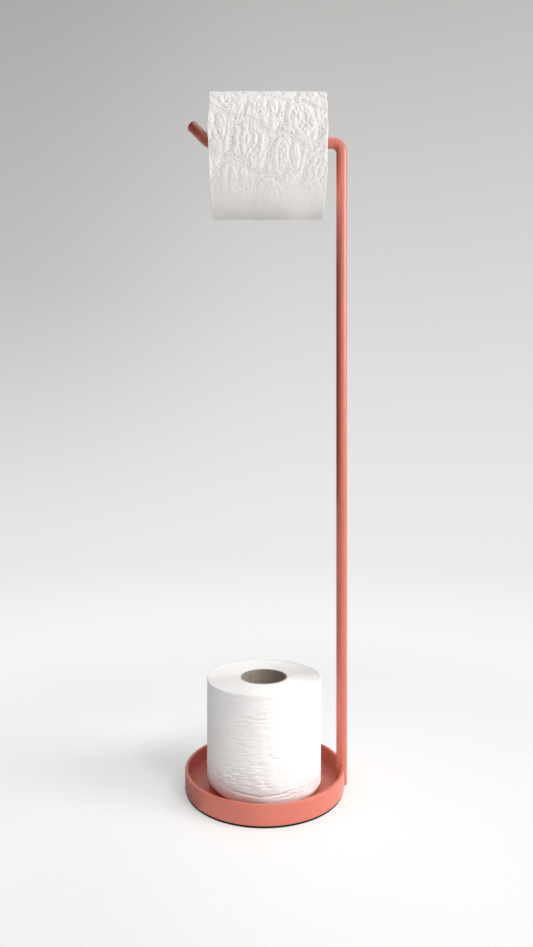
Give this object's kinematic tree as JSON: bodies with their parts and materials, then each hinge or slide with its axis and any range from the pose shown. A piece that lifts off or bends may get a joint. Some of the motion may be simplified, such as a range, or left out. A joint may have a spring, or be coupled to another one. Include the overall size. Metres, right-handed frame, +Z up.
{
  "type": "freestanding toilet paper holder",
  "caption": "Freestanding toilet paper holder: low round steel tray, slim bent bar as post and arm with an upturned tip, a quilted roll on the arm and a spare roll in the tray.",
  "frame": {"origin": "centre of the anti-slip pad's underside, on the floor", "axes": "+Z up; +X from the tray's centre to the post, so the arm runs back over the tray towards -X; the pictured front faces -Y"},
  "size_m": [0.1494, 0.146, 0.6348],
  "materials": {
    "coral_powder_coat": "satin",
    "black_pad": "matte",
    "screw_steel": "satin",
    "core_cardboard": "matte",
    "quilted_tissue": "matte",
    "plain_tissue": "matte"
  },
  "bodies": {
    "stand": {"base_tray": "coral_powder_coat", "post_and_arm": "coral_powder_coat", "anti_slip_pad": "black_pad", "foot_screw_lower": "screw_steel", "foot_screw_upper": "screw_steel"},
    "upper_roll": {"upper_roll_core": "core_cardboard", "upper_roll_paper": "quilted_tissue"},
    "spare_roll": {"spare_roll_core": "core_cardboard", "spare_roll_paper": "plain_tissue"}
  },
  "joints": [
    {"name": "upper_roll_spin", "type": "hinge", "parent": "stand", "child": "upper_roll", "pos_m": [0.00321, 0, 0.5813], "axis": [1, 0, 0], "continuous": true},
    {"name": "spare_roll_lift", "type": "slide", "parent": "stand", "child": "spare_roll", "axis": [0, 0, 1], "range_m": [0, 0.12]}
  ]
}
